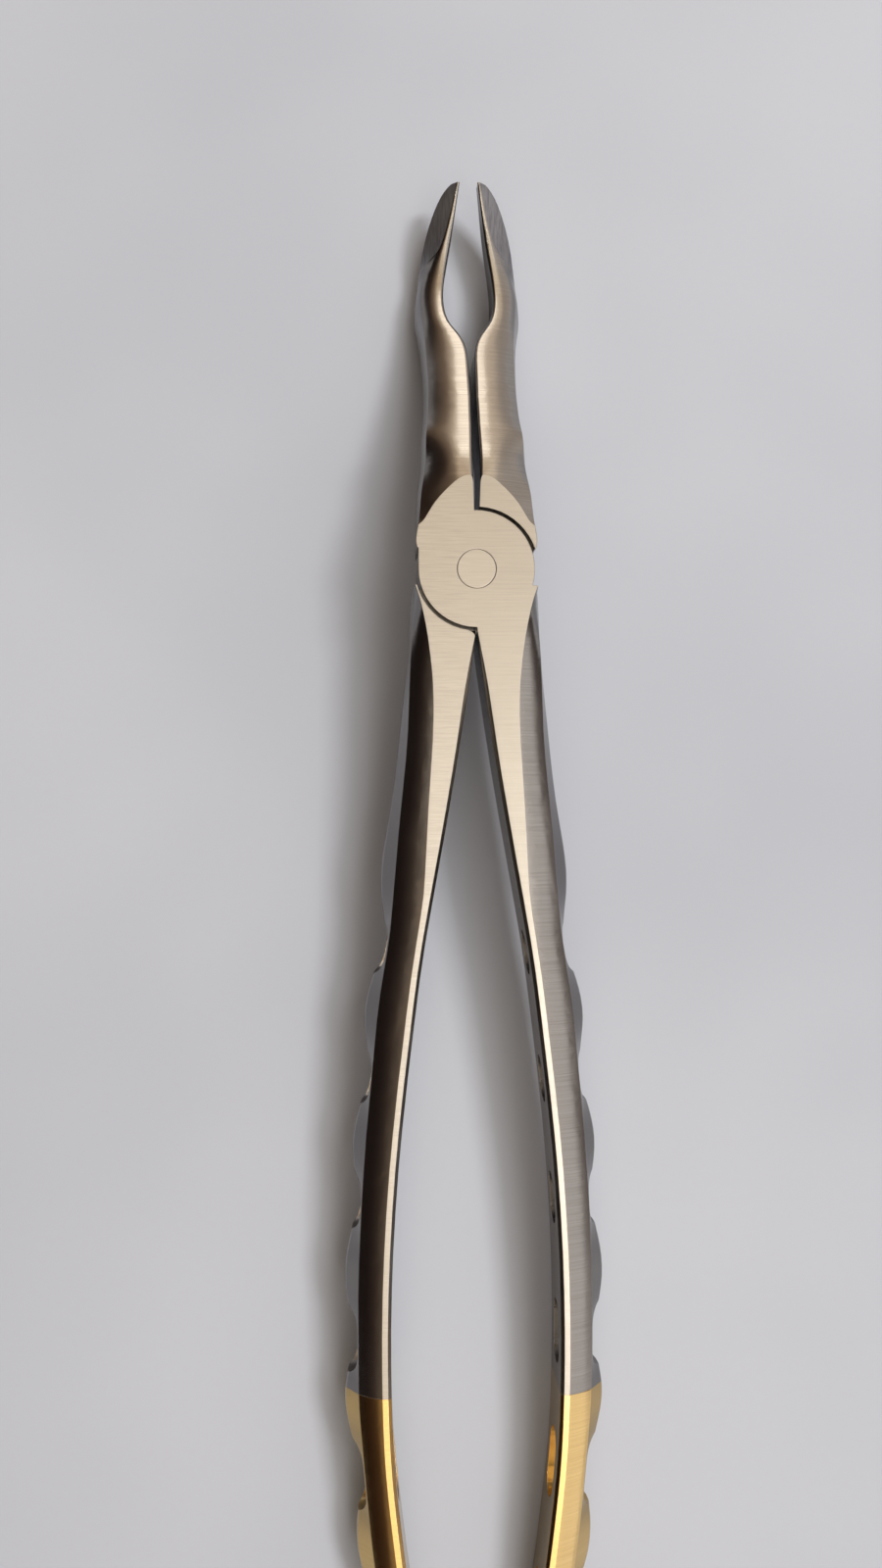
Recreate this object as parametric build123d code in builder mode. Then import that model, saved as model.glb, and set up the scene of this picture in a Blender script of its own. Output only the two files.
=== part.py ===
from build123d import *
import os

# Dental extraction forceps: two forged levers crossing in a lap joint on one flush rivet.
# Frame: mm, +Z up along the rivet, +Y towards the beaks, handles towards -Y.
# Origin on the rivet axis, in the bottom flat face of the joint.

os.makedirs("parts", exist_ok=True)

# ---- joint ----
JOINT_THICKNESS = 9.0
MID = JOINT_THICKNESS / 2          # height of the lap plane between the two levers
DISC_RADIUS = 6.78                 # round lap plate of each lever
CHEEK_LENGTH = 2.7                 # the plate's edge runs straight from the disc into the neck
ARC_GAP = 0.42                     # clearance between a lap plate and the other lever's shoulder
LAP_CLEARANCE = 0.06               # running clearance between the two lap plates
RIVET_DIAMETER = 4.5
RIVET_RUNNING_FIT = 0.04           # radial clearance of the rivet in the upper lever
FLAT_END = 10.6                    # the ground joint faces run out here into the neck
SHOULDER_ROUND = 0.9               # rounded corner where a handle meets the other lap plate
SHOULDER_X = 0.15                  # that corner's place, on the inner face of the handle
SHOULDER_Y = DISC_RADIUS + ARC_GAP

# ---- neck and beak sections, drawn for the beak on the +X side ----
# Each row: distance from pivot, inner face x, top z, upper ridge (x, z), widest point (x, z),
# lower ridge (x, z), bottom z, then arc heights of the crown, flank, belly and inner hollow.
NECK_SECTIONS = [
    (2.4, 0.20, 10.3, (6.90, 9.05), (6.95, 4.5), (6.85, -0.10), -1.3, 0.30, 0.03, 0.03, 0.01),
    (5.4, 0.25, 10.2, (6.75, 8.85), (6.95, 4.5), (6.60, 0.20), -1.2, 0.22, 0.08, 0.12, 0.01),
    (7.6, 0.32, 10.0, (6.55, 8.20), (6.90, 4.3), (6.40, 0.60), -0.7, 0.34, 0.10, 0.20, 0.01),
    (9.2, 0.38, 9.55, (6.40, 7.70), (6.78, 3.9), (6.25, 0.40), -0.3, 0.34, 0.12, 0.25, 0.01),
    (10.6, 0.42, 9.10, (6.20, 7.10), (6.62, 3.3), (6.10, 0.00), -0.1, 0.46, 0.12, 0.25, 0.01),
    (15.0, 0.40, 7.35, (5.80, 5.70), (6.22, 1.7), (5.72, -1.6), -2.1, 0.48, 0.12, 0.30, 0.01),
    (19.2, 0.34, 5.1, (5.50, 3.50), (5.95, -0.5), (5.40, -4.0), -4.8, 0.48, 0.12, 0.30, 0.01),
    (22.4, 0.31, 3.35, (5.35, 1.75), (5.80, -2.3), (5.25, -5.9), -6.8, 0.48, 0.12, 0.30, 0.01),
    (25.9, 0.38, 1.3, (5.40, -0.30), (5.85, -4.2), (5.25, -8.0), -8.9, 0.46, 0.12, 0.30, 0.01),
    (28.6, 0.52, -0.3, (5.50, -1.90), (6.00, -5.6), (5.35, -9.1), -10.0, 0.44, 0.12, 0.30, 0.02),
    (30.2, 0.92, -1.25, (5.58, -2.80), (6.15, -6.4), (5.40, -9.8), -10.6, 0.43, 0.12, 0.30, 0.08),
    (31.7, 1.70, -2.15, (5.70, -3.65), (6.35, -7.1), (5.50, -10.3), -11.0, 0.42, 0.12, 0.30, 0.15),
    (34.7, 3.00, -3.85, (5.95, -5.20), (6.80, -8.2), (5.90, -10.6), -11.1, 0.38, 0.12, 0.30, 0.35),
    (39.4, 3.00, -5.5, (5.65, -6.60), (6.35, -8.4), (5.60, -9.8), -10.3, 0.30, 0.10, 0.25, 0.35),
    (43.6, 2.30, -5.6, (3.45, -5.75), (5.70, -7.5), (4.90, -8.9), -9.3, 0.10, 0.02, 0.20, 0.30),
    (47.0, 1.75, -5.1, (2.35, -5.15), (4.75, -6.6), (4.10, -7.7), -8.0, 0.04, 0.02, 0.15, 0.20),
    (49.4, 1.40, -4.65, (1.80, -4.68), (3.70, -5.8), (3.20, -6.6), -6.8, 0.03, 0.02, 0.10, 0.15),
    (51.2, 1.12, -4.3, (1.40, -4.32), (2.20, -5.0), (2.00, -5.8), -6.0, 0.02, 0.02, 0.05, 0.06),
]
INNER_ROUND = 0.35                 # rounded edge between the crown and the inner face
INNER_ROUND_SHARE = 0.4            # and its most, as a share of the crown's width

# ---- handle sections, drawn for the handle on the +X side ----
# Each row: distance behind pivot, inner edge x, width of the flat land, crease x, widest x,
# half height.
HANDLE_SECTIONS = [
    (1.9, 0.20, 6.95, 7.30, 7.42, 4.50),
    (8.0, 0.25, 5.40, 7.50, 7.80, 4.50),
    (13.5, 1.30, 3.75, 7.80, 8.30, 4.50),
    (20.0, 2.28, 2.80, 8.05, 9.00, 4.50),
    (28.0, 3.60, 2.00, 8.80, 10.00, 4.50),
    (37.8, 5.35, 0.80, 9.65, 11.10, 4.50),
    (43.2, 6.30, 0.65, 10.20, 10.75, 4.45),
    (48.2, 7.05, 0.65, 11.00, 12.25, 4.40),
    (52.8, 7.62, 0.65, 11.60, 13.10, 4.35),
    (59.3, 8.40, 0.65, 12.20, 12.65, 4.30),
    (63.9, 8.90, 0.65, 12.65, 13.85, 4.30),
    (68.3, 9.33, 0.65, 13.00, 14.50, 4.30),
    (74.2, 9.78, 0.65, 13.40, 13.95, 4.25),
    (79.0, 10.05, 0.65, 13.60, 14.90, 4.25),
    (83.8, 10.23, 0.65, 13.75, 15.40, 4.20),
    (91.0, 10.32, 0.65, 13.75, 14.50, 4.20),
    (97.4, 10.22, 0.65, 13.65, 15.40, 4.20),
    (103.5, 9.95, 0.65, 13.20, 14.30, 4.15),
    (109.0, 9.45, 0.65, 12.70, 13.65, 4.10),
    (112.8, 9.00, 0.65, 12.30, 14.00, 4.10),
    (117.6, 8.40, 0.65, 11.70, 13.50, 4.00),
    (122.5, 7.70, 0.65, 11.00, 12.00, 4.00),
    (127.5, 7.10, 0.65, 10.20, 11.60, 3.80),
    (130.8, 7.20, 0.60, 9.40, 10.20, 3.00),
    (131.6, 7.50, 0.50, 8.80, 9.20, 2.30),
]
EDGE_BREAK = 0.4                   # chamfer between land and inner face
CREASE_DROP = 1.4                  # the crease sits this far below the land
FLANK_DROP = 0.5                   # and the middle of the sloping flank this far
NOSE_HALF = 1.0                    # half height of the rounded outermost strip
NOSE_ROUND = 0.12                  # its fullness, as a share of the width beyond the crease

# ---- oval windows through the grip ----
# Each row: distance behind pivot, x where the cut starts, length, lean of the handle in degrees.
WINDOWS = [
    (45.3, 5.0, 5.2, 8.5),
    (60.4, 7.0, 5.4, 7.0),
    (74.6, 8.3, 5.9, 4.0),
    (90.5, 8.8, 7.2, 0.0),
    (106.0, 8.2, 7.9, -5.5),
    (122.6, 6.2, 7.0, -8.0),
]
WINDOW_HEIGHT = 4.2
WINDOW_DEPTH = 9.0
WINDOW_FLARE = -5.0                # the windows widen slightly towards the outside

# ---- gilt end ----
GILT_START = 96.3                  # plating begins this far behind the pivot


with BuildPart() as neck:
    for y, inner, top, high, side, low, bottom, crown, flank, belly, hollow in NECK_SECTIONS:
        edge = min(INNER_ROUND, INNER_ROUND_SHARE * (high[0] - inner))
        with BuildSketch(Plane.XZ.offset(-y)):
            with BuildLine():
                SagittaArc((inner, top - edge), (inner + edge, top), 0.29 * edge)
                SagittaArc((inner + edge, top), high, crown)
                SagittaArc(high, side, flank)
                SagittaArc(side, low, belly)
                SagittaArc(low, (inner, bottom), belly)
                SagittaArc((inner, bottom), (inner, top - edge), -hollow)
            make_face()
    loft()
    # the joint faces are ground flat, which cuts the rounded neck in an arch
    with BuildSketch(Plane.XY.offset(JOINT_THICKNESS)):
        with Locations((5, FLAT_END)):
            Rectangle(20, 2 * FLAT_END)
    extrude(amount=10, mode=Mode.SUBTRACT)
    with BuildSketch(Plane.XY):
        with Locations((5, FLAT_END / 2)):
            Rectangle(20, FLAT_END)
    extrude(amount=-10, mode=Mode.SUBTRACT)

with BuildPart() as handle:
    for y, inner, land, crease, side, half in HANDLE_SECTIONS:
        top = MID + half
        bottom = MID - half
        upper_crease = top - CREASE_DROP
        lower_crease = bottom + CREASE_DROP
        flank = (inner + land + crease) / 2
        shoulder = side - NOSE_ROUND * (side - crease)
        edge = min(EDGE_BREAK, 0.3 * inner)
        with BuildSketch(Plane.XZ.offset(y)):
            with BuildLine():
                Polyline(
                    (inner + land, bottom),
                    (inner, bottom),
                    (inner - edge, bottom + edge),
                    (inner - edge, top - edge),
                    (inner, top),
                    (inner + land, top),
                )
                ThreePointArc(
                    (inner + land, top),
                    (flank, top - FLANK_DROP),
                    (crease, upper_crease),
                )
                Line((crease, upper_crease), (shoulder, MID + NOSE_HALF))
                ThreePointArc((shoulder, MID + NOSE_HALF), (side, MID), (shoulder, MID - NOSE_HALF))
                Line((shoulder, MID - NOSE_HALF), (crease, lower_crease))
                ThreePointArc(
                    (crease, lower_crease),
                    (flank, bottom + FLANK_DROP),
                    (inner + land, bottom),
                )
            make_face()
    loft()
    with BuildSketch(Plane.XY):
        with Locations((5, -65)):
            Rectangle(30, 140)
    extrude(amount=JOINT_THICKNESS, mode=Mode.INTERSECT)
    # oval windows from the inner face out through each scallop
    for y, start, length, lean in WINDOWS:
        outwards = Vector(1, 0, 0).rotate(Axis.Z, lean)
        with BuildSketch(Plane(origin=(start, -y, MID), x_dir=(0, 0, 1), z_dir=outwards)):
            SlotOverall(length, WINDOW_HEIGHT, rotation=90)
        extrude(amount=WINDOW_DEPTH, taper=WINDOW_FLARE, mode=Mode.SUBTRACT)

mirrored_neck = neck.part.mirror(Plane.YZ)
mirrored_handle = handle.part.mirror(Plane.YZ)

# upper lever: beak on the -X side, handle on the +X side, lap plate in the upper half
with BuildPart() as upper_blank:
    add(mirrored_neck)
    add(handle.part)
    with BuildSketch(Plane.XY):
        Circle(DISC_RADIUS + ARC_GAP)
    extrude(amount=MID + LAP_CLEARANCE / 2, mode=Mode.SUBTRACT)
    with BuildSketch(Plane.XY.offset(MID + LAP_CLEARANCE / 2)):
        Circle(DISC_RADIUS)
        Rectangle(DISC_RADIUS, CHEEK_LENGTH, align=(Align.MAX, Align.MIN))
    extrude(amount=MID - LAP_CLEARANCE / 2)
    with BuildSketch(Plane.XY):
        Circle(RIVET_DIAMETER / 2 + RIVET_RUNNING_FIT)
    extrude(amount=JOINT_THICKNESS, mode=Mode.SUBTRACT)
    with BuildSketch(Plane.XY):
        with Locations((SHOULDER_X, -SHOULDER_Y)):
            Rectangle(SHOULDER_ROUND, SHOULDER_ROUND, align=(Align.MIN, Align.MAX))
        with Locations((SHOULDER_X + SHOULDER_ROUND, -SHOULDER_Y - SHOULDER_ROUND)):
            Circle(SHOULDER_ROUND, mode=Mode.SUBTRACT)
    extrude(amount=MID + LAP_CLEARANCE / 2, mode=Mode.SUBTRACT)

# lower lever: beak on the +X side, handle on the -X side, lap plate in the lower half
with BuildPart() as lower_blank:
    add(neck.part)
    add(mirrored_handle)
    with BuildSketch(Plane.XY.offset(MID - LAP_CLEARANCE / 2)):
        Circle(DISC_RADIUS + ARC_GAP)
    extrude(amount=MID + LAP_CLEARANCE, mode=Mode.SUBTRACT)
    with BuildSketch(Plane.XY):
        Circle(DISC_RADIUS)
        Rectangle(DISC_RADIUS, CHEEK_LENGTH, align=(Align.MIN, Align.MIN))
    extrude(amount=MID - LAP_CLEARANCE / 2)
    with BuildSketch(Plane.XY):
        Circle(RIVET_DIAMETER / 2)
    extrude(amount=JOINT_THICKNESS, mode=Mode.SUBTRACT)
    with BuildSketch(Plane.XY.offset(MID - LAP_CLEARANCE / 2)):
        with Locations((-SHOULDER_X, -SHOULDER_Y)):
            Rectangle(SHOULDER_ROUND, SHOULDER_ROUND, align=(Align.MAX, Align.MAX))
        with Locations((-SHOULDER_X - SHOULDER_ROUND, -SHOULDER_Y - SHOULDER_ROUND)):
            Circle(SHOULDER_ROUND, mode=Mode.SUBTRACT)
    extrude(amount=MID + LAP_CLEARANCE, mode=Mode.SUBTRACT)

with BuildPart() as rivet:
    with BuildSketch(Plane.XY):
        Circle(RIVET_DIAMETER / 2)
    extrude(amount=JOINT_THICKNESS)

# the plated end of each handle is kept as a region of its own
GILT_PLANE = Plane.XZ.offset(GILT_START)
with BuildPart() as upper_lever:
    add(upper_blank.part)
    split(bisect_by=GILT_PLANE, keep=Keep.BOTTOM)
with BuildPart() as upper_gilt_end:
    add(upper_blank.part)
    split(bisect_by=GILT_PLANE, keep=Keep.TOP)
with BuildPart() as lower_lever:
    add(lower_blank.part)
    split(bisect_by=GILT_PLANE, keep=Keep.BOTTOM)
with BuildPart() as lower_gilt_end:
    add(lower_blank.part)
    split(bisect_by=GILT_PLANE, keep=Keep.TOP)

upper_lever.part.label = "upper_lever"
lower_lever.part.label = "lower_lever"
upper_gilt_end.part.label = "upper_gilt_end"
lower_gilt_end.part.label = "lower_gilt_end"
rivet.part.label = "rivet"

export_step(upper_lever.part, "parts/upper_lever.step")
export_step(lower_lever.part, "parts/lower_lever.step")
export_step(upper_gilt_end.part, "parts/upper_gilt_end.step")
export_step(lower_gilt_end.part, "parts/lower_gilt_end.step")
export_step(rivet.part, "parts/rivet.step")
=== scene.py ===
import math

import bpy
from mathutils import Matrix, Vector

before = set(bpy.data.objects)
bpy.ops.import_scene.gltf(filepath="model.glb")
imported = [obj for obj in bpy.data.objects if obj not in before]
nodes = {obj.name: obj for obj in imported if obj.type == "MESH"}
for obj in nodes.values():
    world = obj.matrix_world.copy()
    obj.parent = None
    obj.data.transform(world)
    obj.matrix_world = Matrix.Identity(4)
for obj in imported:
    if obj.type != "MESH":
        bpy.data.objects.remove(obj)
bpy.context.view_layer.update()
MM = 0.001
scene = bpy.context.scene
scene.view_settings.view_transform = "Standard"


# ---------------------------------------------------------------- node helpers
class Graph:
    """A small wrapper that adds shader nodes and links to one material."""

    def __init__(self, name):
        self.material = bpy.data.materials.new(name)
        self.material.use_nodes = True
        self.tree = self.material.node_tree
        self.bsdf = self.tree.nodes["Principled BSDF"]
        coordinates = self.add("ShaderNodeTexCoord")
        self.point = coordinates.outputs["Object"]
        self.normal = coordinates.outputs["Normal"]

    def add(self, kind, **settings):
        node = self.tree.nodes.new(kind)
        for key, value in settings.items():
            setattr(node, key, value)
        return node

    def put(self, socket, value):
        if isinstance(value, bpy.types.NodeSocket):
            self.tree.links.new(value, socket)
        else:
            socket.default_value = value

    def math(self, operation, a, b=0.0, clamp=False):
        node = self.add("ShaderNodeMath", operation=operation, use_clamp=clamp)
        self.put(node.inputs[0], a)
        self.put(node.inputs[1], b)
        return node.outputs[0]

    def parts(self, vector):
        node = self.add("ShaderNodeSeparateXYZ")
        self.put(node.inputs[0], vector)
        return node.outputs["X"], node.outputs["Y"], node.outputs["Z"]

    def scaled(self, scale, rotation=(0.0, 0.0, 0.0)):
        node = self.add("ShaderNodeMapping")
        self.put(node.inputs["Vector"], self.point)
        node.inputs["Scale"].default_value = scale
        node.inputs["Rotation"].default_value = rotation
        return node.outputs[0]

    def noise(self, vector, detail=2.0, roughness=0.5):
        node = self.add("ShaderNodeTexNoise")
        self.put(node.inputs["Vector"], vector)
        node.inputs["Scale"].default_value = 1.0
        node.inputs["Detail"].default_value = detail
        node.inputs["Roughness"].default_value = roughness
        return node.outputs["Fac"]

    def span(self, value, low, high, to_low=0.0, to_high=1.0):
        """Maps low..high to to_low..to_high with a smooth step, held at the ends."""
        node = self.add("ShaderNodeMapRange", interpolation_type="SMOOTHSTEP")
        self.put(node.inputs["Value"], value)
        node.inputs["From Min"].default_value = low
        node.inputs["From Max"].default_value = high
        node.inputs["To Min"].default_value = to_low
        node.inputs["To Max"].default_value = to_high
        return node.outputs[0]

    def mix(self, factor, a, b):
        node = self.add("ShaderNodeMix", data_type="RGBA")
        self.put(node.inputs["Factor"], factor)
        self.put(node.inputs["A"], a)
        self.put(node.inputs["B"], b)
        return node.outputs["Result"]

    def blend(self, factor, a, b):
        """Number version of mix."""
        node = self.add("ShaderNodeMix", data_type="FLOAT")
        self.put(node.inputs["Factor"], factor)
        self.put(node.inputs["A"], a)
        self.put(node.inputs["B"], b)
        return node.outputs["Result"]


# the ground facet on the outer side of each beak: distance from pivot, inner limit x, in mm
FACET_EDGE = ((40.0, 6.2), (43.6, 3.45), (47.0, 2.35), (49.4, 1.80), (51.2, 1.40))
FACET_REACH = 60.0                  # mm from the pivot that the edge curve spans
FACET_WIDTH = 10.0                  # mm of x that the edge curve spans
FACET_START = (38.5, 40.5)          # mm from the pivot over which the facet fades in
FACET_FADE = 0.15                   # mm over which its inner edge fades
FACET_LIGHT = (0.38, 0.38, 0.40, 1.0)
FACET_DARK = (0.27, 0.27, 0.29, 1.0)
FACET_ROUGH = 0.44
FACET_ROUGH_SPREAD = 0.12
FACET_TURN = math.radians(-38)

FLAT_NORMAL = (0.985, 0.9985)       # upright share of the normal where a ground flat begins
PAINTED_SHADE_NORMAL = (0.55, 0.84)         # and below which a steep face is given painted shade
STROKE_TURN = math.radians(52)      # lean of the strokes on the -X side of the joint
STROKE_CHANGE = (-0.0035, 0.002)    # x over which the strokes change direction
EDGE_RADIUS = 0.14 * MM             # rounding that the shader gives to sharp edges
MARK_DEPTH = 0.02 * MM


def brushing(g, flat, x):
    """Fine cross-brushing on the flats, turned to -X of the joint, and satin lines elsewhere."""
    fine = g.noise(g.scaled((90.0, 9000.0, 90.0)), 3.0, 0.6)
    finest = g.noise(g.scaled((400.0, 22000.0, 400.0)), 2.0, 0.6)
    diagonal = g.noise(g.scaled((300.0, 9000.0, 300.0), (0.0, 0.0, STROKE_TURN)), 3.0, 0.6)
    satin = g.noise(g.scaled((60.0, 7000.0, 60.0)), 3.0, 0.6)
    across = g.math("ADD", g.math("MULTIPLY", fine, 0.6), g.math("MULTIPLY", finest, 0.4))
    on_flats = g.blend(g.span(x, *STROKE_CHANGE), diagonal, across)
    return g.blend(flat, satin, on_flats)


def beak_facets(g, x, y, nz, colour, rough):
    """Coarser grey on the ground facets, outside an edge curve that nears the tip."""
    edge = g.add("ShaderNodeFloatCurve")
    g.put(edge.inputs["Value"], g.math("MULTIPLY", y, 1 / (FACET_REACH * MM)))
    points = edge.mapping.curves[0].points
    points[0].location = (0.0, 1.0)
    points[1].location = (1.0, 0.1)
    for place, limit in FACET_EDGE:
        points.new(place / FACET_REACH, limit / FACET_WIDTH)
    edge.mapping.update()
    limit = g.math("MULTIPLY", edge.outputs[0], FACET_WIDTH * MM)
    beyond = g.math("SUBTRACT", g.math("ABSOLUTE", x), limit)
    near, far = FACET_START
    facet = g.math("MULTIPLY", g.span(beyond, 0.0, FACET_FADE * MM), g.span(y, near * MM, far * MM))
    facet = g.math("MULTIPLY", facet, g.span(nz, 0.1, 0.25))
    ground = g.noise(g.scaled((5200.0, 420.0, 5200.0), (0.0, 0.0, FACET_TURN)), 2.0, 0.6)
    grey = g.mix(g.span(ground, 0.35, 0.65), FACET_LIGHT, FACET_DARK)
    coarse = g.math("ADD", FACET_ROUGH, g.math("MULTIPLY", ground, FACET_ROUGH_SPREAD))
    return g.mix(facet, colour, grey), g.blend(facet, rough, coarse)


def metal(name, base, dark, shade, flat_rough, side_rough, relief, facets=False):
    """Brushed metal: fine streaks across the ground flats, satin polish elsewhere, and painted shade
    that darkens the colour of steep faces.
    """
    g = Graph(name)
    nz = g.parts(g.normal)[2]
    x, y, _ = g.parts(g.point)
    upright = g.math("ABSOLUTE", nz)
    flat = g.span(upright, *FLAT_NORMAL)
    marks = brushing(g, flat, x)
    patches = g.noise(g.scaled((150.0, 90.0, 150.0)), 2.0, 0.5)

    colour = g.mix(g.span(marks, 0.25, 0.78), base, dark)
    stain = g.span(patches, 0.50, 0.78)
    colour = g.mix(g.math("MULTIPLY", stain, 0.20), colour, dark)
    # painted shade: steep faces take the darker shade colour in place of the dim reflections they
    # show
    colour = g.mix(g.span(upright, *PAINTED_SHADE_NORMAL, 1.0, 0.0), colour, shade)
    rough = g.blend(flat, side_rough, flat_rough)
    rough = g.math("ADD", rough, g.math("MULTIPLY", g.math("SUBTRACT", marks, 0.5), 0.12))
    rough = g.math("ADD", rough, g.math("MULTIPLY", g.math("SUBTRACT", patches, 0.5), 0.06))
    if facets:
        colour, rough = beak_facets(g, x, y, nz, colour, rough)
    g.put(g.bsdf.inputs["Base Color"], colour)
    g.put(g.bsdf.inputs["Roughness"], rough)
    g.bsdf.inputs["Metallic"].default_value = 1.0

    bevel = g.add("ShaderNodeBevel", samples=6)
    bevel.inputs["Radius"].default_value = EDGE_RADIUS
    bump = g.add("ShaderNodeBump")
    bump.inputs["Strength"].default_value = relief
    bump.inputs["Distance"].default_value = MARK_DEPTH
    g.put(bump.inputs["Height"], marks)
    g.put(bump.inputs["Normal"], bevel.outputs[0])
    g.put(g.bsdf.inputs["Normal"], bump.outputs[0])
    return g.material


# the third colour of each metal is the painted shade for its steep faces
steel = metal(
    "forged_steel",
    (0.455, 0.430, 0.390, 1.0), (0.380, 0.355, 0.320, 1.0), (0.200, 0.190, 0.190, 1.0),
    0.34, 0.22, 0.05, facets=True,
)
rivet_steel = metal(
    "rivet_steel",
    (0.475, 0.450, 0.410, 1.0), (0.400, 0.375, 0.340, 1.0), (0.200, 0.190, 0.190, 1.0),
    0.32, 0.22, 0.07,
)
gilt = metal(
    "gilt",
    (1.00, 0.72, 0.32, 1.0), (0.92, 0.64, 0.27, 1.0), (0.42, 0.30, 0.14, 1.0),
    0.20, 0.17, 0.02,
)

for name, material in (
    ("upper_lever", steel),
    ("lower_lever", steel),
    ("upper_gilt_end", gilt),
    ("lower_gilt_end", gilt),
    ("rivet", rivet_steel),
):
    node = nodes[name]
    node.data.materials.clear()
    node.data.materials.append(material)


# ---------------------------------------------------------------- stage
FLOOR_HALF = 1.5


def floor_plane(material):
    half = FLOOR_HALF
    mesh = bpy.data.meshes.new("floor")
    corners = [(-half, -half, 0), (half, -half, 0), (half, half, 0), (-half, half, 0)]
    mesh.from_pydata(corners, [], [(0, 1, 2, 3)])
    mesh.materials.append(material)
    made = bpy.data.objects.new("floor", mesh)
    scene.collection.objects.link(made)
    return made


# the tool lies on its beak bellies and handle ends, so the floor is tilted to its joint plane
BELLY = Vector((0, 33 * MM, -11.30 * MM))
HEEL = Vector((0, -127.5 * MM, 0.65 * MM))
FLOOR_TILT = math.atan2(BELLY.z - HEEL.z, BELLY.y - HEEL.y)

paper = Graph("pale_floor")
mottle = paper.noise(paper.scaled((9.0, 9.0, 9.0)), 3.0, 0.5)
grain = paper.noise(paper.scaled((900.0, 900.0, 900.0)), 2.0, 0.6)
dull, pale, speck = (0.262, 0.279, 0.318, 1.0), (0.306, 0.324, 0.365, 1.0), (0.22, 0.22, 0.26, 1.0)
tone = paper.mix(paper.span(mottle, 0.3, 0.7), dull, pale)
tone = paper.mix(paper.math("MULTIPLY", grain, 0.08), tone, speck)
paper.put(paper.bsdf.inputs["Base Color"], tone)
paper.bsdf.inputs["Roughness"].default_value = 0.75
floor = floor_plane(paper.material)
floor.rotation_euler = (FLOOR_TILT, 0, 0)
floor.location = (BELLY + HEEL) / 2

# ---------------------------------------------------------------- light
ROOM_STRENGTH = 2.1
BACKDROP = (0.26, 0.26, 0.275, 1.0)
LAMP_AIM = Vector((0, -30 * MM, 0))  # the lamps point at the middle of the tool
world = bpy.data.worlds.new("studio")
scene.world = world
world.use_nodes = True
wt = world.node_tree
background = wt.nodes["Background"]
direction = wt.nodes.new("ShaderNodeTexCoord").outputs["Generated"]
axes = wt.nodes.new("ShaderNodeSeparateXYZ")
wt.links.new(direction, axes.inputs[0])


def world_ramp(socket, stops):
    """Brightness and colour of the room as a function of one component of the direction."""
    spread = wt.nodes.new("ShaderNodeMapRange")
    wt.links.new(socket, spread.inputs["Value"])
    spread.inputs["From Min"].default_value = -1.0
    ramp = wt.nodes.new("ShaderNodeValToRGB")
    wt.links.new(spread.outputs[0], ramp.inputs[0])
    elements = ramp.color_ramp.elements
    while len(elements) < len(stops):
        elements.new(0.5)
    for element, (place, colour) in zip(elements, stops):
        element.position = (place + 1) / 2
        element.color = (*colour, 1.0)
    return ramp.outputs[0]


# dark room on the left, tan ceiling overhead, cooler pale wall on the right
side_to_side = world_ramp(
    axes.outputs["X"],
    [
        (-1.00, (0.005, 0.003, 0.003)),
        (-0.80, (0.006, 0.003, 0.003)),
        (-0.55, (0.022, 0.013, 0.010)),
        (-0.30, (0.240, 0.180, 0.130)),
        (-0.17, (0.800, 0.700, 0.570)),
        (-0.05, (0.640, 0.530, 0.410)),
        (0.10, (0.640, 0.545, 0.430)),
        (0.22, (0.900, 0.820, 0.710)),
        (0.34, (0.800, 0.740, 0.650)),
        (0.48, (0.400, 0.375, 0.365)),
        (0.66, (0.380, 0.365, 0.370)),
        (0.84, (0.400, 0.385, 0.390)),
        (0.89, (0.260, 0.240, 0.240)),
        (0.94, (0.060, 0.045, 0.042)),
        (0.98, (0.030, 0.022, 0.020)),
    ],
)
# the far end of the room, beyond the beaks, is darker
far_end = world_ramp(
    axes.outputs["Y"],
    [
        (-1.00, (0.90, 0.90, 0.90)),
        (-0.30, (1.00, 1.00, 1.00)),
        (0.30, (0.90, 0.90, 0.90)),
        (0.70, (0.72, 0.66, 0.60)),
        (1.00, (0.50, 0.45, 0.42)),
    ],
)
product = wt.nodes.new("ShaderNodeMix")
product.data_type = "RGBA"
product.blend_type = "MULTIPLY"
product.inputs["Factor"].default_value = 1.0
wt.links.new(side_to_side, product.inputs["A"])
wt.links.new(far_end, product.inputs["B"])
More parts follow.
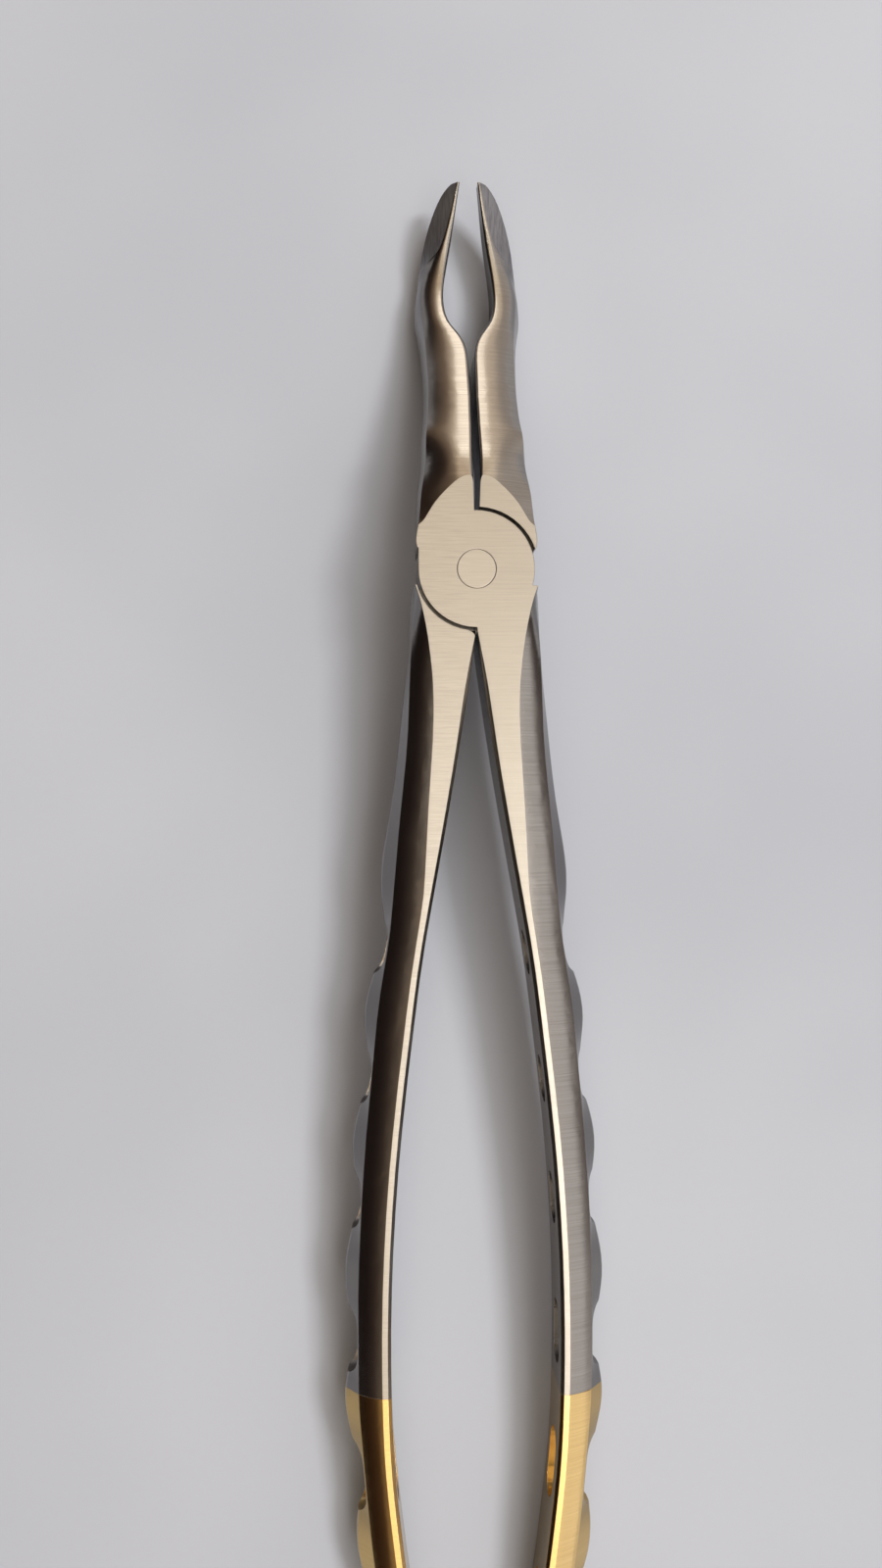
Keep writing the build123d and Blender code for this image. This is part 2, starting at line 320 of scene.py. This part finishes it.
# the metal sees this room; behind the object there is only a plain pale backdrop
backdrop = wt.nodes.new("ShaderNodeMix")
backdrop.data_type = "RGBA"
backdrop.inputs["B"].default_value = BACKDROP
wt.links.new(wt.nodes.new("ShaderNodeLightPath").outputs["Is Camera Ray"], backdrop.inputs["Factor"])
wt.links.new(product.outputs["Result"], backdrop.inputs["A"])
wt.links.new(backdrop.outputs["Result"], background.inputs["Color"])
background.inputs["Strength"].default_value = ROOM_STRENGTH


def area_light(name, direction, distance, width, height, power, colour, mirrored):
    """A soft lamp. One that isn't mirrored lights the scene but doesn't show in the metal."""
    data = bpy.data.lights.new(name, "AREA")
    data.shape = "RECTANGLE"
    data.size, data.size_y = width, height
    data.energy = power
    data.color = colour
    lamp = bpy.data.objects.new(name, data)
    scene.collection.objects.link(lamp)
    away = Vector(direction).normalized()
    lamp.location = LAMP_AIM + away * distance
    lamp.rotation_euler = away.to_track_quat("Z", "Y").to_euler()
    lamp.visible_glossy = mirrored
    return lamp


area_light("key", (4.0, 1.4, 7.0), 1.0, 0.16, 0.22, 8.0, (1.0, 0.97, 0.93), False)
area_light("fill", (2.4, 3.3, 7.0), 1.0, 0.30, 0.30, 4.0, (1.0, 0.98, 0.96), False)
area_light("beyond_beaks", (0.1, 4.0, 0.9), 0.8, 0.22, 0.52, 0.62, (1.0, 0.95, 0.88), True)
area_light("window", (2.6, 0.0, 7.6), 0.9, 0.03, 0.50, 0.30, (1.0, 0.98, 0.94), True)
area_light("skylight", (-1.3, 0.4, 5.5), 0.9, 0.03, 0.50, 0.24, (1.0, 0.98, 0.94), True)
area_light("doorway", (1.9, -3.4, 9.3), 0.9, 0.10, 0.40, 0.9, (1.0, 0.98, 0.95), True)

# ---------------------------------------------------------------- camera
# the picture looks almost straight down on the joint, close up
FOCAL_PIXELS = 1281.7
IMAGE_HEIGHT = 1600
SENSOR = 36.0
LEAN = math.radians(2.9)
DISTANCE = 150 * MM
target = Vector((-3.93 * MM, -24.99 * MM, 4.5 * MM))
camera_data = bpy.data.cameras.new("camera")
camera_data.sensor_width = SENSOR
camera_data.lens = FOCAL_PIXELS / IMAGE_HEIGHT * SENSOR
camera_data.clip_start = 0.01
camera_data.clip_end = 10.0
camera = bpy.data.objects.new("camera", camera_data)
scene.collection.objects.link(camera)
camera.location = target + Vector((-math.sin(LEAN), 0, math.cos(LEAN))) * DISTANCE
camera.rotation_euler = (0, -LEAN, 0)
scene.camera = camera
